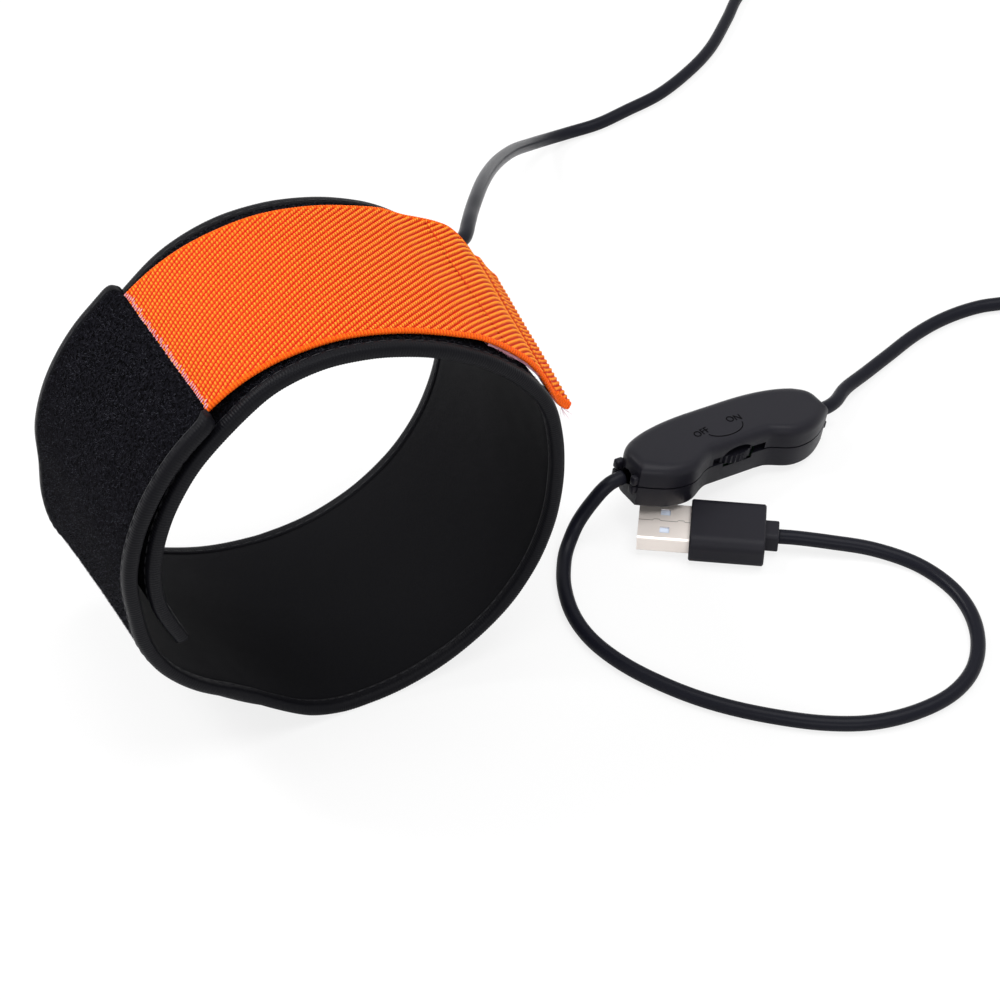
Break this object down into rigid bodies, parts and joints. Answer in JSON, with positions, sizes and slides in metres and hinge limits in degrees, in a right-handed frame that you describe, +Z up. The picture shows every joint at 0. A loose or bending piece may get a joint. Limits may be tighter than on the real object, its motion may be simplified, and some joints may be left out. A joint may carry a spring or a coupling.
{
  "type": "lens dew heater strip",
  "caption": "Padded heater strip wrapped round a barrel and closed by a ribbed elastic strap, with a cable, an inline dimmer with a thumbwheel and a flat plug.",
  "frame": {"origin": "under the middle of the wrapped strip, on the surface that it lies on", "axes": "+Z up; +Y along the barrel's axis from its front end to its rear end; +X across the strip, towards the dimmer"},
  "size_m": [0.3571, 0.2754, 0.1062],
  "materials": {
    "pile": "brushed loop pile, matt",
    "lining": "smooth knit",
    "satin": "ribbed satin edge tape",
    "foam": "soft padding",
    "heater": "thin heating foil",
    "elastic": "woven elastic with diagonal ribs",
    "hook": "hook tape",
    "jacket": "smooth cable jacket",
    "black_plastic": "fine moulded texture",
    "nickel": "nickel plated",
    "pale_insert": "moulded insulator",
    "gilt": "plated contacts",
    "board": "circuit board",
    "steel": "plain metal"
  },
  "bodies": {
    "strip_and_cable": {"pile_fabric": "pile", "foam_pad": "foam", "heater_film": "heater", "lining_fabric": "lining", "edge_binding_near": "satin", "edge_binding_far": "satin", "tail_binding": "satin", "elastic_strap": "elastic", "hook_patch": "hook", "cable_boot": "jacket", "dimmer_base": "black_plastic", "dimmer_lid": "black_plastic", "potentiometer": "steel", "circuit_board": "board", "power_transistor": "black_plastic", "capacitor": "steel", "case_screw_left": "steel", "case_screw_right": "steel", "plug_shell": "nickel", "plug_insulator": "pale_insert", "plug_contact_1": "gilt", "plug_contact_2": "gilt", "plug_contact_3": "gilt", "plug_contact_4": "gilt", "plug_grip": "black_plastic", "cable_strip_run": "jacket", "cable_coil": "jacket", "coil_tie": "pile", "cable_dimmer_run": "jacket", "cable_plug_run": "jacket"},
    "thumbwheel": {"thumbwheel": "black_plastic"}
  },
  "joints": [
    {"name": "wheel_turn", "type": "hinge", "parent": "strip_and_cable", "child": "thumbwheel", "pos_m": [0.10512, 0.00101, 0.01067], "axis": [0.1553, 0.0185, 0.9877], "range_deg": [0, 270]}
  ]
}
